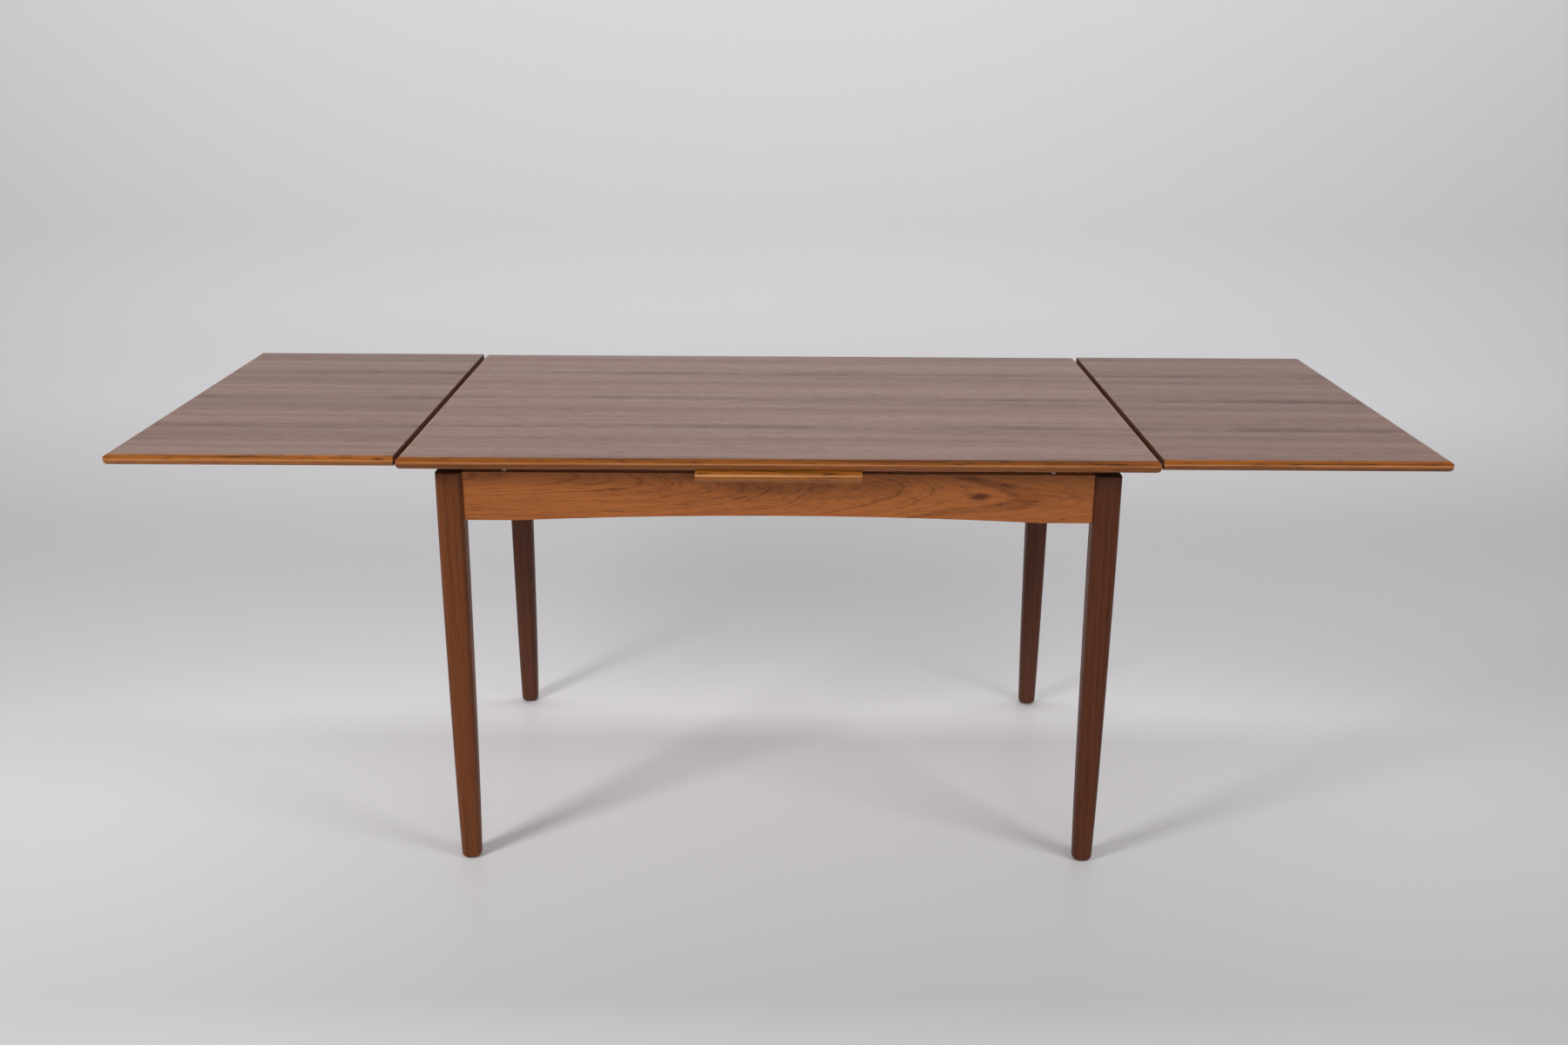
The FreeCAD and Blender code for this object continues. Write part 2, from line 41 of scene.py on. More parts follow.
# How each wood was sawn, and the strength of each kind of mark in it.
VENEER_GRAIN = {"Lean": 0.01, "Tilt": 0.0, "Wander": 0.020, "Spacing": 0.009, "Fineness": 0.50,
                "Bands": 0.22, "Rings": 0.08, "Streaks": 0.22, "Dashes": 0.30}
EDGE_GRAIN = {"Lean": 0.004, "Tilt": 0.0, "Wander": 0.003, "Spacing": 0.0035, "Fineness": 2.2,
              "Bands": 0.20, "Rings": 0.20, "Streaks": 0.62, "Dashes": 0.55}
APRON_GRAIN = {"Lean": 0.080, "Tilt": 0.044, "Wander": 0.034, "Spacing": 0.0022, "Fineness": 1.5,
               "Bands": 0.16, "Rings": 0.56, "Streaks": 0.20, "Dashes": 0.28}
LEG_GRAIN = {"Lean": 0.012, "Tilt": 0.0, "Wander": 0.008, "Spacing": 0.006, "Fineness": 1.5,
             "Bands": 0.40, "Rings": 0.30, "Streaks": 0.36, "Dashes": 0.26}
BEECH_GRAIN = {"Lean": 0.01, "Tilt": 0.0, "Wander": 0.006, "Spacing": 0.007, "Fineness": 1.4,
               "Bands": 0.15, "Rings": 0.12, "Streaks": 0.20, "Dashes": 0.22}

# Finishes: the roughness of the plain surface and its sheen.
TOP_FINISH = (0.28, 0.5)
LEAF_FINISH = (0.30, 0.5)
BOARD_FINISH = (0.36, 0.4)
EDGE_FINISH = (0.24, 0.40)
APRON_FINISH = (0.42, 0.25)
LEG_FINISH = (0.42, 0.22)
BEECH_FINISH = (0.55, 0.3)
PEG_FINISH = (0.50, 0.3)
LACQUER_IOR = 1.5
GRAIN_RELIEF = 0.0001
FELT_ROUGHNESS = 0.95
FELT_RELIEF = 0.0004
ZINC_ROUGHNESS = (0.25, 0.25)

# Veneer sheets: width, half width of the dark line in each, and that line's strength.
VENEER_SHEETS = (0.2108, 0.030, 0.62)
SHEET_SLIDE = 0.09
SHEET_SLICE = 0.004
SHEET_FROM_PITH = 0.6
HEART_BEND = 0.016
HEART_BEND_STRETCH = (2.2, 40.0, 7.0)
HEART_PATCH_STRETCH = (3.4, 10.0, 3.0)
HEART_PATCH_STEP = (0.36, 0.66)
HEART_PATCH_RANGE = (0.65, 0.35)

# Painted highlight lines along the rounded noses, and a painted reflection along the top's end
# arris: height above the floor, reach and colour.
TOP_NOSE_HIGHLIGHT = (0.7240, 0.0022, (0.340, 0.125, 0.040, 1))
TOP_ARRIS_REFLECTION = (0.7316, 0.0020, (0.400, 0.235, 0.145, 1))
LEAF_NOSE_HIGHLIGHT = (0.7258, 0.0022, (0.400, 0.160, 0.055, 1))
BOARD_NOSE_HIGHLIGHT = (0.7055, 0.0020, (0.520, 0.240, 0.100, 1))
HIGHLIGHT_FADE = (0.2, 1.0)
HIGHLIGHT_STRETCH = (9.0, 9.0, 60.0)
HIGHLIGHT_STEP = (0.28, 0.62)
HIGHLIGHT_RANGE = (0.6, 0.4)

# The dark knot near the right end of the front apron: its place and size.
APRON_KNOT = ((0.322, -0.346, 0.657), (0.030, 0.030, 0.009))
KNOT_STRETCH = (30.0, 120.0, 120.0)
KNOT_STEP = (0.15, 0.95)

# Growth rings: how far they wander, and how uneven their widths and strengths are.
NOISE_MIDDLE = (0.5, 0.5, 0.5)
DRIFT_STRETCH = (1.7, 6.0, 6.0)
FEATHER_STRETCH = (24.0, 150.0, 150.0)
FEATHER_DEPTH = 0.0022
UNEVEN_RATE = 0.31
UNEVEN_RINGS = 2.4
RING_SHARPNESS = 2.6
STRENGTH_RATE = 0.7
STRENGTH_START = 40.0
STRENGTH_STEP = (0.25, 0.75)
FIBRE_ACROSS = 0.4

# Marks in the grain: how often each comes along and across it, and where it sets in.
END_STEP = (0.55, 0.90)
BAND_STRETCH = (0.30, 13.0, 13.0)
BAND_STEP = (0.46, 0.68)
CLOUD_STRETCH = (1.1, 26.0, 26.0)
STREAK_STRETCH = (2.4, 150.0, 150.0)
STREAK_STEP = (0.40, 0.72)
SCATTER_STRETCH = (26.0, 300.0, 300.0)
DASH_STEP = (0.52, 0.68)
PORE_STRETCH = (95.0, 1500.0, 1500.0)
PORE_STEP = (0.60, 0.72)
RING_FLECKS = (1.3, 0.1)
HEART_FLECKS = (0.9, 0.5)
CLOUD_MIDDLE = 0.42
CLOUD_DEPTH = 0.55
PORE_DEPTH = 0.16
CLOUD_ROUGHNESS = 0.10
PORE_ROUGHNESS = 0.10
DARK_ROUGHNESS = 0.16
END_ROUGHNESS = 0.25
SCATTER_RELIEF = 0.5
FELT_STRETCH = (1800.0, 1800.0, 1800.0)
ZINC_STRETCH = (700.0, 700.0, 700.0)

# The camera that took the photograph, solved from the table's own corners.
CAMERA_PLACE = Vector((0.00694, -2.80999, 1.39060))
CAMERA_PITCH = 0.30610
CAMERA_YAW = 0.00084
CAMERA_ROLL = 0.00580
CAMERA_LENS = 36.772
CAMERA_SENSOR = 36.0
CAMERA_REACH = 50.0

# The studio: a pale floor that sweeps up into a wall behind the table.
WALL_Y = 2.35
WALL_HEIGHT = 4.0
SWEEP_RADIUS = 0.75
SWEEP_STEPS = 16
STUDIO_HALF_WIDTH = 12.0
STUDIO_FRONT_Y = -11.0
# Painted light and shade of the paper along the sheet, from a line on the floor to the top of the
# wall: paler on the floor under the table, darker on the floor behind it.
PAPER_START_Y = -5.0
PAPER_PAINTED_LIGHT = ((0.00, 0.56), (0.35, 0.56), (0.44, 0.82), (0.54, 0.56), (0.72, 0.70), (1.00, 0.62))
PAPER_GREEN = 0.985
PAPER_ROUGHNESS = 0.42
PAPER_SHEEN = 0.35
PAPER_FADE = (4.8, 8.5)
# Where the floor gives way to the wall, and how far painted shade dims the floor to the right and
# the sides.
WALL_STEP = (0.46, 0.54)
RIGHT_STEP = (-2.2, 2.2)
RIGHT_PAINTED_SHADE = 0.13
SIDES_STEP = (0.3, 1.9)
SIDES_PAINTED_SHADE = 0.20
# Lamps: name, place, aim, size, power in watts, and whether the lacquer mirrors them.
LAMPS = (
    ("key_left", (-2.25, -2.15, 1.95), (0.0, 0.0, 0.45), (0.7, 0.7), 58.0, False),
    ("fill_right", (2.15, -1.75, 1.95), (0.0, 0.0, 0.45), (1.0, 1.0), 31.0, False),
    ("front_strip", (0.75, -3.5, 1.45), (0.2, 0.0, 0.7), (2.6, 0.45), 26.0, True),
    ("wall_wash", (0.0, 1.2, 3.5), (0.0, 2.35, 1.2), (8.0, 0.7), 80.0, True),
)
AIR_COLOUR = (0.97, 0.98, 1.0, 1)
AIR_STRENGTH = 0.26


class Tree:
    """Short hand for placing and joining nodes in one node tree."""

    def __init__(self, tree):
        self.tree = tree

    def join(self, value, socket):
        if isinstance(value, bpy.types.NodeSocket):
            self.tree.links.new(value, socket)
        else:
            socket.default_value = value

    def add(self, kind, inputs=None, **settings):
        item = self.tree.nodes.new(kind)
        for name, value in settings.items():
            setattr(item, name, value)
        for key, value in (inputs or {}).items():
            self.join(value, item.inputs[key])
        return item

    def math(self, operation, first, second=0.0, clamp=False):
        item = self.add("ShaderNodeMath", {0: first, 1: second}, operation=operation)
        item.use_clamp = clamp
        return item.outputs[0]

    def times(self, first, second):
        return self.math("MULTIPLY", first, second)

    def plus(self, first, second, clamp=False):
        return self.math("ADD", first, second, clamp)

    def rest_of(self, value):
        """What is left of one."""
        return self.math("SUBTRACT", 1.0, value)

    def ranged(self, value, span, low):
        return self.plus(self.times(value, span), low)

    def vector(self, operation, first, second):
        return self.add("ShaderNodeVectorMath", {0: first, 1: second},
                        operation=operation).outputs[0]

    def scaled(self, vector, factor):
        return self.add("ShaderNodeVectorMath", {0: vector, "Scale": factor},
                        operation="SCALE").outputs[0]

    def length(self, vector):
        return self.add("ShaderNodeVectorMath", {0: vector}, operation="LENGTH").outputs["Value"]

    def noise(self, vector, stretch, detail=2.0, roughness=0.5, output="Fac"):
        stretched = self.vector("MULTIPLY", vector, stretch)
        item = self.add("ShaderNodeTexNoise",
                        {"Vector": stretched, "Scale": 1.0, "Detail": detail,
                         "Roughness": roughness})
        return item.outputs[output]

    def row_noise(self, value, detail):
        """Noise along one line."""
        item = self.add("ShaderNodeTexNoise", {"W": value, "Detail": detail, "Scale": 1.0},
                        noise_dimensions="1D")
        return item.outputs["Fac"]

    def band(self, value, low, high):
        """A soft step: 0 below low, 1 above high."""
        item = self.add("ShaderNodeMapRange", {"Value": value, "From Min": low, "From Max": high},
                        interpolation_type="SMOOTHSTEP")
        return item.outputs["Result"]

    def blend(self, fac, first, second):
        item = self.add("ShaderNodeMix", {"Factor": fac}, data_type="RGBA")
        self.join(first, item.inputs[6])
        self.join(second, item.inputs[7])
        return item.outputs[2]

    def place(self):
        return self.add("ShaderNodeTexCoord").outputs["Object"]


def new_group(name, inputs, outputs):
    group = bpy.data.node_groups.new(name, "ShaderNodeTree")
    for socket_name, kind, default in inputs:
        socket = group.interface.new_socket(socket_name, in_out="INPUT", socket_type=kind)
        if default is not None:
            socket.default_value = default
    for socket_name, kind in outputs:
        group.interface.new_socket(socket_name, in_out="OUTPUT", socket_type=kind)
    tree = Tree(group)
    return group, tree, tree.add("NodeGroupInput").outputs, tree.add("NodeGroupOutput")


def new_material(name):
    material = bpy.data.materials.new(name)
    material.use_nodes = True
    return material, Tree(material.node_tree), material.node_tree.nodes["Principled BSDF"]


def make_grain_way(name, order):
    """A piece's own place, from the pith and with X along the grain, and where its ends show."""
    group, tree, given, result = new_group(
        name, [("Pith", "NodeSocketVector", (0.0, 0.0, 0.0))],
        [("Vector", "NodeSocketVector"), ("End", "NodeSocketFloat")])
    piece = tree.add("ShaderNodeTexCoord")
    split = tree.add("ShaderNodeSeparateXYZ", {0: piece.outputs["Object"]})
    joined = tree.add("ShaderNodeCombineXYZ",
                      {axis: split.outputs[source] for axis, source in zip("XYZ", order)})
    tree.join(tree.vector("SUBTRACT", joined.outputs[0], given["Pith"]), result.inputs["Vector"])
    facing = tree.add("ShaderNodeSeparateXYZ", {0: piece.outputs["Normal"]}).outputs[order[0]]
    tree.join(tree.band(tree.math("ABSOLUTE", facing), *END_STEP), result.inputs["End"])
    return group


def make_veneer_sheets():
    """Slices of one log laid side by side: the figure repeats, with a dark line in each."""
    group, tree, given, result = new_group(
        "veneer_sheets",
        [("Vector", "NodeSocketVector", None), ("Width", "NodeSocketFloat", 0.21),
         ("Heart Width", "NodeSocketFloat", 0.02)],
        [("Vector", "NodeSocketVector"), ("Heart", "NodeSocketFloat")])
    along, side, depth = tree.add("ShaderNodeSeparateXYZ", {0: given["Vector"]}).outputs
    sheets = tree.math("DIVIDE", side, given["Width"])
    number = tree.math("FLOOR", sheets)
    place = tree.times(tree.math("SUBTRACT", sheets, number), given["Width"])
    slid = tree.plus(along, tree.times(number, SHEET_SLIDE))
    slice_depth = tree.plus(depth, tree.times(number, SHEET_SLICE))
    laid = tree.add("ShaderNodeCombineXYZ",
                    {"X": slid, "Y": tree.plus(place, SHEET_FROM_PITH), "Z": slice_depth})
    tree.join(laid.outputs[0], result.inputs["Vector"])
    apart = tree.math("ABSOLUTE", tree.math("SUBTRACT", place, tree.times(given["Width"], 0.5)))
    strip = tree.add("ShaderNodeCombineXYZ", {"X": slid, "Y": place, "Z": number}).outputs[0]
    bends = tree.plus(tree.noise(strip, HEART_BEND_STRETCH, 3.0), -0.5)
    apart = tree.plus(apart, tree.times(bends, HEART_BEND))
    inside = tree.rest_of(tree.band(apart, 0.0, given["Heart Width"]))
    patches = tree.band(tree.noise(strip, HEART_PATCH_STRETCH), *HEART_PATCH_STEP)
    heart = tree.times(inside, tree.ranged(patches, *HEART_PATCH_RANGE))
    tree.join(heart, result.inputs["Heart"])
    return group


def make_painted_nose_highlight():
    """A painted highlight line where a rounded edge stands out furthest, at one height above the
    floor.
    """
    group, tree, given, result = new_group(
        "painted_nose_highlight",
        [("Level", "NodeSocketFloat", 0.72), ("Reach", "NodeSocketFloat", 0.002)],
        [("Mask", "NodeSocketFloat")])
    place = tree.place()
    height = tree.add("ShaderNodeSeparateXYZ", {0: place}).outputs["Z"]
    apart = tree.math("ABSOLUTE", tree.math("SUBTRACT", height, given["Level"]))
    line = tree.rest_of(tree.band(tree.math("DIVIDE", apart, given["Reach"]), *HIGHLIGHT_FADE))
    uneven = tree.band(tree.noise(place, HIGHLIGHT_STRETCH, 3.0), *HIGHLIGHT_STEP)
    tree.join(tree.times(line, tree.ranged(uneven, *HIGHLIGHT_RANGE)), result.inputs["Mask"])
    return group


def make_growth_rings():
    """Rings round a leaning pith: their soft lines, and the way the fibres follow them."""
    group, tree, given, result = new_group(
        "growth_rings",
        [("Vector", "NodeSocketVector", None), ("Lean", "NodeSocketFloat", 0.0),
         ("Tilt", "NodeSocketFloat", 0.0), ("Wander", "NodeSocketFloat", 0.01),
         ("Spacing", "NodeSocketFloat", 0.006)],
        [("Lines", "NodeSocketFloat"), ("Fibre", "NodeSocketVector")])
    drift = tree.noise(given["Vector"], DRIFT_STRETCH, output="Color")
    drift = tree.scaled(tree.vector("SUBTRACT", drift, NOISE_MIDDLE), given["Wander"])
    wavy = tree.vector("ADD", given["Vector"], tree.vector("MULTIPLY", drift, (0.0, 1.0, 1.0)))
    along, radial, across = tree.add("ShaderNodeSeparateXYZ", {0: wavy}).outputs
    radial = tree.plus(radial, tree.times(along, given["Lean"]))
    across = tree.plus(across, tree.times(along, given["Tilt"]))
    radius = tree.math("SQRT", tree.plus(tree.times(radial, radial), tree.times(across, across)))
    feather = tree.plus(tree.noise(given["Vector"], FEATHER_STRETCH), -0.5)
    feathered = tree.plus(radius, tree.times(feather, FEATHER_DEPTH))
    count = tree.math("DIVIDE", feathered, given["Spacing"])
    uneven = tree.row_noise(tree.times(count, UNEVEN_RATE), 1.0)
    count = tree.plus(count, tree.times(uneven, UNEVEN_RINGS))
    wave = tree.math("SINE", tree.times(count, 2.0 * math.pi))
    lines = tree.math("POWER", tree.ranged(wave, 0.5, 0.5), RING_SHARPNESS)
    strength = tree.row_noise(tree.ranged(count, STRENGTH_RATE, STRENGTH_START), 0.0)
    tree.join(tree.times(lines, tree.band(strength, *STRENGTH_STEP)), result.inputs["Lines"])
    fibre = tree.add("ShaderNodeCombineXYZ",
                     {"X": along, "Y": radius, "Z": tree.times(across, FIBRE_ACROSS)})
    tree.join(fibre.outputs[0], result.inputs["Fibre"])
    return group


def make_teak_grain(growth_rings):
    """Sawn wood: X of the vector runs along the grain, in metres from the pith."""
    group, tree, given, result = new_group(
        "teak_grain",
        [("Vector", "NodeSocketVector", None), ("End", "NodeSocketFloat", 0.0),
         ("Pale", "NodeSocketColor", None), ("Deep", "NodeSocketColor", None),
         ("Cut", "NodeSocketColor", None),
         ("Lean", "NodeSocketFloat", 0.0), ("Tilt", "NodeSocketFloat", 0.0),
         ("Wander", "NodeSocketFloat", 0.01), ("Spacing", "NodeSocketFloat", 0.006),
         ("Fineness", "NodeSocketFloat", 1.0), ("Bands", "NodeSocketFloat", 0.4),
         ("Rings", "NodeSocketFloat", 0.0), ("Streaks", "NodeSocketFloat", 0.3),
         ("Dashes", "NodeSocketFloat", 0.3), ("Heart", "NodeSocketFloat", 0.0),
         ("Gloss", "NodeSocketFloat", 0.36)],
        [("Color", "NodeSocketColor"), ("Roughness", "NodeSocketFloat"),
         ("Height", "NodeSocketFloat")])
    rings = tree.add("ShaderNodeGroup", node_tree=growth_rings)
    for key in ("Vector", "Lean", "Tilt", "Wander", "Spacing"):
        tree.join(given[key], rings.inputs[key])
    fibre = rings.outputs["Fibre"]
    thin = tree.add("ShaderNodeCombineXYZ",
                    {"X": 1.0, "Y": given["Fineness"], "Z": given["Fineness"]}).outputs[0]
    drawn = tree.vector("MULTIPLY", fibre, thin)
    bands = tree.band(tree.noise(fibre, BAND_STRETCH), *BAND_STEP)
    clouds = tree.noise(fibre, CLOUD_STRETCH, 3.0, 0.55)
    streaks = tree.band(tree.noise(drawn, STREAK_STRETCH, 3.0, 0.55), *STREAK_STEP)
    scatter = tree.noise(drawn, SCATTER_STRETCH, 4.0, 0.65)
    dashes = tree.band(scatter, *DASH_STEP)
    pores = tree.band(tree.noise(given["Vector"], PORE_STRETCH, 1.0), *PORE_STEP)

    lines = tree.times(rings.outputs["Lines"], tree.ranged(scatter, *RING_FLECKS))
    depth = tree.plus(tree.times(bands, given["Bands"]), tree.times(lines, given["Rings"]))
    depth = tree.plus(depth, tree.times(streaks, given["Streaks"]))
    depth = tree.plus(depth, tree.times(dashes, given["Dashes"]))
    depth = tree.plus(depth, tree.times(given["Heart"], tree.ranged(scatter, *HEART_FLECKS)))
    depth = tree.plus(depth, tree.times(tree.plus(clouds, -CLOUD_MIDDLE), CLOUD_DEPTH))
    depth = tree.plus(depth, tree.times(tree.plus(scatter, -0.5), given["Dashes"]))
    depth = tree.plus(depth, tree.times(pores, PORE_DEPTH), clamp=True)
    colour = tree.blend(depth, given["Pale"], given["Deep"])
    # Cut ends: partly real dark end grain, partly painted shade where a face sits in a narrow gap,
    # such as the leaf's inner edge beside the top.
    tree.join(tree.blend(given["End"], colour, given["Cut"]), result.inputs["Color"])

    rough = tree.plus(given["Gloss"], tree.times(tree.plus(clouds, -0.5), CLOUD_ROUGHNESS))
    marks = tree.plus(tree.times(pores, PORE_ROUGHNESS), tree.times(depth, DARK_ROUGHNESS))
    ends = tree.times(given["End"], END_ROUGHNESS)
    tree.join(tree.plus(tree.plus(rough, marks), ends), result.inputs["Roughness"])
    height = tree.math("SUBTRACT", tree.times(scatter, SCATTER_RELIEF), tree.plus(pores, dashes))
    tree.join(height, result.inputs["Height"])
    return group


teak_grain = make_teak_grain(make_growth_rings())
veneer_sheets = make_veneer_sheets()
painted_nose_highlight = make_painted_nose_highlight()
grain_along_x = make_grain_way("grain_along_x", "XYZ")
grain_along_y = make_grain_way("grain_along_y", "YXZ")
grain_along_z = make_grain_way("grain_along_z", "ZXY")


def wood(name, way, pith, tones, grain, finish, sheets=None, painted_highlight=None, knot=None):
    """A wood finish, with its veneer sheets, a painted highlight line along its edge or a knot if
    it has them."""
    material, tree, shader = new_material(name)
    gloss, sheen = finish
    turned = tree.add("ShaderNodeGroup", node_tree=way)
    turned.inputs["Pith"].default_value = pith
    place = turned.outputs["Vector"]
    figure = tree.add("ShaderNodeGroup", node_tree=teak_grain)
    if sheets:
        width, heart_width, heart = sheets
        laid = tree.add("ShaderNodeGroup", {"Vector": place, "Width": width,
                                            "Heart Width": heart_width}, node_tree=veneer_sheets)
        place = laid.outputs["Vector"]
        tree.join(tree.times(laid.outputs["Heart"], heart), figure.inputs["Heart"])
    if knot:
        spot, size = knot
        away = tree.vector("SUBTRACT", tree.place(), spot)
        ragged = tree.noise(place, KNOT_STRETCH, 3.0, 0.6, "Color")
        ragged = tree.vector("SUBTRACT", ragged, NOISE_MIDDLE)
        away = tree.vector("ADD", tree.vector("DIVIDE", away, size), ragged)
        dark = tree.rest_of(tree.band(tree.length(away), *KNOT_STEP))
        tree.join(dark, figure.inputs["Heart"])
    tree.join(place, figure.inputs["Vector"])
    tree.join(turned.outputs["End"], figure.inputs["End"])
    for key, tone in zip(("Pale", "Deep", "Cut"), tones):
        figure.inputs[key].default_value = tone
    figure.inputs["Gloss"].default_value = gloss
    for key, value in grain.items():
        figure.inputs[key].default_value = value
    colour = figure.outputs["Color"]
    # Painted highlight: a paler line is blended in along the nose, where the lamps would glint.
    if painted_highlight:
        level, reach, highlight_tone = painted_highlight
        highlight_mask = tree.add("ShaderNodeGroup", {"Level": level, "Reach": reach}, node_tree=painted_nose_highlight)
        colour = tree.blend(highlight_mask.outputs["Mask"], colour, highlight_tone)
    relief = tree.add("ShaderNodeBump", {"Height": figure.outputs["Height"],
                                         "Distance": GRAIN_RELIEF})
    tree.join(colour, shader.inputs["Base Color"])
    tree.join(figure.outputs["Roughness"], shader.inputs["Roughness"])
    tree.join(relief.outputs["Normal"], shader.inputs["Normal"])
    shader.inputs["IOR"].default_value = LACQUER_IOR
    shader.inputs["Specular IOR Level"].default_value = sheen
    return material


def felt():
    material, tree, shader = new_material("white_felt")
    tufts = tree.noise(tree.place(), FELT_STRETCH, 3.0)
    relief = tree.add("ShaderNodeBump", {"Height": tufts, "Distance": FELT_RELIEF})
    tree.join(tree.blend(tufts, *FELT_TONES), shader.inputs["Base Color"])
    tree.join(relief.outputs["Normal"], shader.inputs["Normal"])
    shader.inputs["Roughness"].default_value = FELT_ROUGHNESS
    return material


def zinc():
    material, tree, shader = new_material("screw_zinc")
    bloom = tree.noise(tree.place(), ZINC_STRETCH, 3.0)
    tree.join(tree.blend(bloom, *ZINC_TONES), shader.inputs["Base Color"])
    tree.join(tree.ranged(bloom, *ZINC_ROUGHNESS), shader.inputs["Roughness"])
    shader.inputs["Metallic"].default_value = 1.0
    return material


def dress(material, *nodes):
    for node in nodes:
        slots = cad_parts[node].data.materials
        slots.clear()
        slots.append(material)


# The main top and the centre board: sheets of veneer between solid edges.
dress(wood("teak_veneer_top", grain_along_x, (0.3, -0.0875, 0.4), TOP_TONES, VENEER_GRAIN,
           TOP_FINISH, sheets=VENEER_SHEETS), "top_panel")
dress(wood("teak_veneer_board", grain_along_y, (1.9, -0.45, 0.4), TOP_TONES, VENEER_GRAIN,
           BOARD_FINISH, sheets=VENEER_SHEETS), "centre_board_panel")
dress(wood("teak_edge_long", grain_along_x, (0.0, 0.0, 0.55), EDGE_TONES, EDGE_GRAIN,
           EDGE_FINISH, painted_highlight=TOP_NOSE_HIGHLIGHT), "top_lipping_front", "top_lipping_back")
dress(wood("teak_edge_end", grain_along_y, (0.7, 0.0, 0.55), EDGE_TONES, EDGE_GRAIN,
           EDGE_FINISH, painted_highlight=TOP_ARRIS_REFLECTION), "top_lipping_left", "top_lipping_right")
dress(wood("teak_board_edge", grain_along_x, (7.4, 0.0, 0.53), BOARD_EDGE_TONES, EDGE_GRAIN,
           EDGE_FINISH, painted_highlight=BOARD_NOSE_HIGHLIGHT),
      "centre_board_lipping_front", "centre_board_lipping_back")

# The leaves, each from its own log, with edges of a paler cut; the left leaf's edges carry painted
# light and the right leaf's painted shade: side, tones, piths.
LEAVES = (
    ("left", LEFT_EDGE_LIT_TONES, (3.1, -0.104, 0.5), (5.0, 0.0, 0.57), (2.7, 0.0, 0.56)),
    ("right", RIGHT_EDGE_SHADED_TONES, (6.4, -0.096, 0.5), (9.0, 0.0, 0.57), (4.7, 0.0, 0.56)),
)
for side, tones, veneer_pith, long_pith, end_pith in LEAVES:
    dress(wood(f"teak_veneer_{side}", grain_along_x, veneer_pith, LEAF_TONES, VENEER_GRAIN,
               LEAF_FINISH, sheets=VENEER_SHEETS),
          f"{side}_leaf_panel", f"{side}_leaf_inner_strip")
    dress(wood(f"teak_{side}_edge_long", grain_along_x, long_pith, tones, EDGE_GRAIN,
               EDGE_FINISH, painted_highlight=LEAF_NOSE_HIGHLIGHT),
          f"{side}_leaf_lipping_front", f"{side}_leaf_lipping_back")
    dress(wood(f"teak_{side}_edge_end", grain_along_y, end_pith, tones, EDGE_GRAIN,
               EDGE_FINISH, painted_highlight=LEAF_NOSE_HIGHLIGHT), f"{side}_leaf_lipping_end")

# Aprons of flat sawn teak, whose rings show as pointed figure, and straight grained legs.
dress(wood("teak_apron_long", grain_along_x, (-0.48, -0.376, 0.690), APRON_TONES, APRON_GRAIN,
           APRON_FINISH, knot=APRON_KNOT), "apron_front", "apron_back")
dress(wood("teak_apron_end", grain_along_y, (-0.30, 0.58, 0.66), APRON_TONES, APRON_GRAIN,
           APRON_FINISH), "apron_left", "apron_right")
dress(wood("teak_leg_paler", grain_along_z, (0.2, 0.12, -0.46), LEG_TONES, LEG_GRAIN,
           LEG_FINISH), "leg_front_left")
dress(wood("teak_leg_darker", grain_along_z, (0.9, -0.10, -0.46), DARK_LEG_TONES, LEG_GRAIN,
           LEG_FINISH), "leg_front_right")
dress(wood("teak_leg_back", grain_along_z, (1.9, -0.10, 0.50), BACK_LEG_TONES, LEG_GRAIN,
           LEG_FINISH), "leg_back_left", "leg_back_right")

# Hidden working parts in plain beech, with their screws, and the pads on the apron.
dress(wood("beech_long", grain_along_x, (0.9, -0.5, 0.3), BEECH_TONES, BEECH_GRAIN, BEECH_FINISH),
      "left_runner_front", "left_runner_back", "right_runner_front", "right_runner_back")
dress(wood("beech_cross", grain_along_y, (0.5, -0.3, 0.5), BEECH_TONES, BEECH_GRAIN, BEECH_FINISH),
      "centre_rail", "left_runner_stops", "right_runner_stops")
dress(wood("beech_upright", grain_along_z, (0.1, -0.3, 0.2), BEECH_TONES, BEECH_GRAIN, PEG_FINISH),
      "top_guide_pegs")
dress(felt(), "apron_glides")
dress(zinc(), "left_runner_screws", "right_runner_screws")


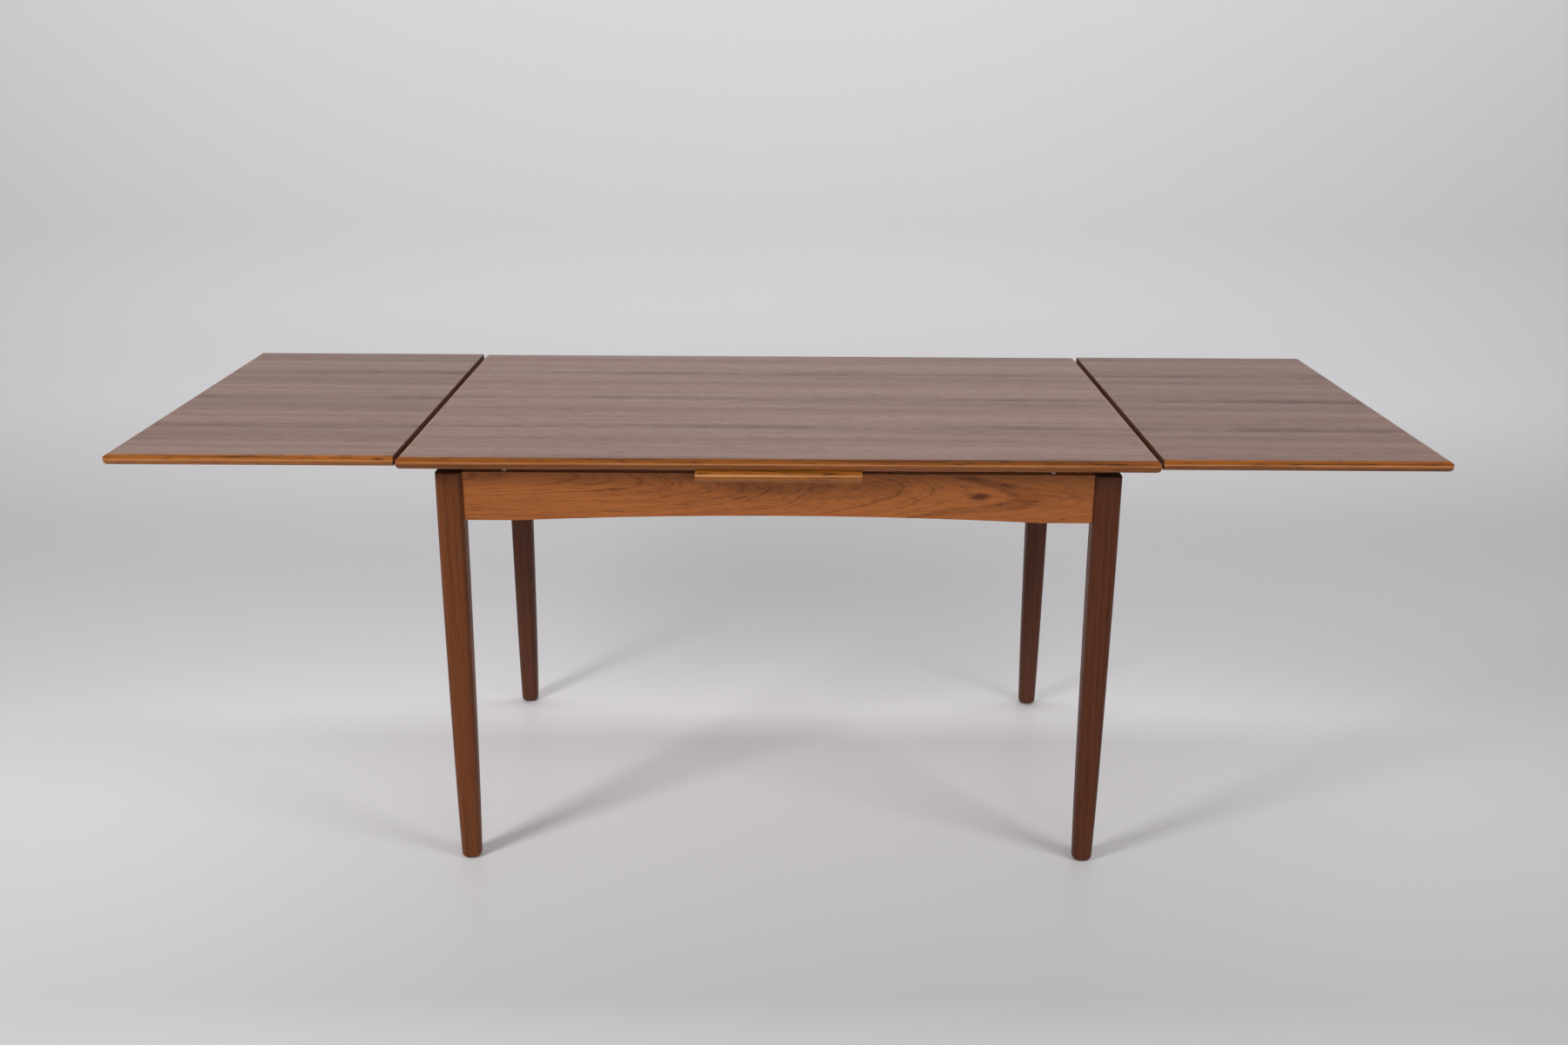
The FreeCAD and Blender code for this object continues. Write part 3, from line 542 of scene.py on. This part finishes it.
def studio_paper(length):
    """Pale paper with painted light and shade that change slowly along the sheet: paler under the
    table, darker behind it, and dimmed on the floor to the right and the sides. Its back is clear,
    so that the table can be seen from behind and from below, and far out it fades into the air."""
    material, tree, shader = new_material("studio_paper")
    place = tree.place()
    split = tree.add("ShaderNodeSeparateXYZ", {0: place})
    along = tree.plus(tree.plus(split.outputs["Y"], split.outputs["Z"]), -PAPER_START_Y)
    share = tree.math("DIVIDE", along, length)
    # Painted light and shade along the sheet: a paler pool under the table and a darker band
    # behind it.
    ramp = tree.add("ShaderNodeValToRGB", {"Fac": share})
    ramp.color_ramp.interpolation = "CARDINAL"
    stops = ramp.color_ramp.elements
    while len(stops) < len(PAPER_PAINTED_LIGHT):
        stops.new(0.5)
    for stop, (position, shade) in zip(stops, PAPER_PAINTED_LIGHT):
        stop.position = position
        stop.color = (shade, shade * PAPER_GREEN, shade, 1)
    floor = tree.rest_of(tree.band(share, *WALL_STEP))
    apart = tree.math("ABSOLUTE", split.outputs["X"])
    # Painted shade: the floor is dimmed towards the right and towards both sides.
    right = tree.times(tree.band(split.outputs["X"], *RIGHT_STEP), tree.times(floor, RIGHT_PAINTED_SHADE))
    sides = tree.times(tree.band(apart, *SIDES_STEP), tree.times(floor, SIDES_PAINTED_SHADE))
    kept = tree.rest_of(tree.plus(right, sides))
    tree.join(tree.scaled(ramp.outputs["Color"], kept), shader.inputs["Base Color"])
    shader.inputs["Roughness"].default_value = PAPER_ROUGHNESS
    shader.inputs["Specular IOR Level"].default_value = PAPER_SHEEN
    back = tree.add("ShaderNodeNewGeometry").outputs["Backfacing"]
    unseen = tree.math("MAXIMUM", back, tree.band(tree.length(place), *PAPER_FADE))
    clear = tree.add("ShaderNodeBsdfTransparent")
    one_sided = tree.add("ShaderNodeMixShader", {0: unseen, 1: shader.outputs["BSDF"],
                                                 2: clear.outputs["BSDF"]})
    tree.join(one_sided.outputs["Shader"],
              material.node_tree.nodes["Material Output"].inputs["Surface"])
    return material


def studio_sweep():
    """Floor, sweep and wall as one smooth sheet."""
    profile = [(STUDIO_FRONT_Y, 0.0), (WALL_Y - SWEEP_RADIUS, 0.0)]
    for step in range(1, SWEEP_STEPS + 1):
        turn = math.pi / 2 * step / SWEEP_STEPS
        profile.append((WALL_Y - SWEEP_RADIUS + SWEEP_RADIUS * math.sin(turn),
                        SWEEP_RADIUS - SWEEP_RADIUS * math.cos(turn)))
    profile.append((WALL_Y, WALL_HEIGHT))
    points = [(x, y, z) for y, z in profile for x in (-STUDIO_HALF_WIDTH, STUDIO_HALF_WIDTH)]
    faces = [(2 * i, 2 * i + 1, 2 * i + 3, 2 * i + 2) for i in range(len(profile) - 1)]
    mesh = bpy.data.meshes.new("studio_sweep")
    mesh.from_pydata(points, [], faces)
    mesh.shade_smooth()
    mesh.materials.append(studio_paper(WALL_Y - PAPER_START_Y + WALL_HEIGHT))
    sheet = bpy.data.objects.new("studio_sweep", mesh)
    scene.collection.objects.link(sheet)


def soft_box(name, place, aim, size, power, mirrored):
    """A soft lamp; one that isn't mirrored leaves no glare on the lacquer."""
    data = bpy.data.lights.new(name, "AREA")
    data.shape = "RECTANGLE"
    data.size, data.size_y = size
    data.energy = power
    lamp = bpy.data.objects.new(name, data)
    lamp.location = place
    lamp.rotation_euler = (Vector(aim) - Vector(place)).to_track_quat("-Z", "Y").to_euler()
    lamp.visible_camera = False
    lamp.visible_glossy = mirrored
    scene.collection.objects.link(lamp)


def set_camera():
    yaw, pitch, roll = CAMERA_YAW, CAMERA_PITCH, CAMERA_ROLL
    ahead = Vector((math.sin(yaw) * math.cos(pitch), math.cos(yaw) * math.cos(pitch),
                    -math.sin(pitch)))
    across = Vector((math.cos(yaw), -math.sin(yaw), 0.0))
    upward = across.cross(ahead)
    right = across * math.cos(roll) + upward * math.sin(roll)
    top = upward * math.cos(roll) - across * math.sin(roll)
    data = bpy.data.cameras.new("photo_camera")
    data.lens = CAMERA_LENS
    data.sensor_width = CAMERA_SENSOR
    data.sensor_fit = "HORIZONTAL"
    data.clip_end = CAMERA_REACH
    camera = bpy.data.objects.new("photo_camera", data)
    turn = Matrix((right, top, -ahead)).transposed().to_4x4()
    camera.matrix_world = Matrix.Translation(CAMERA_PLACE) @ turn
    scene.collection.objects.link(camera)
    scene.camera = camera


studio_sweep()
for lamp_values in LAMPS:
    soft_box(*lamp_values)
world = bpy.data.worlds.new("studio_air")
world.use_nodes = True
air = world.node_tree.nodes["Background"]
air.inputs["Color"].default_value = AIR_COLOUR
air.inputs["Strength"].default_value = AIR_STRENGTH
scene.world = world
set_camera()
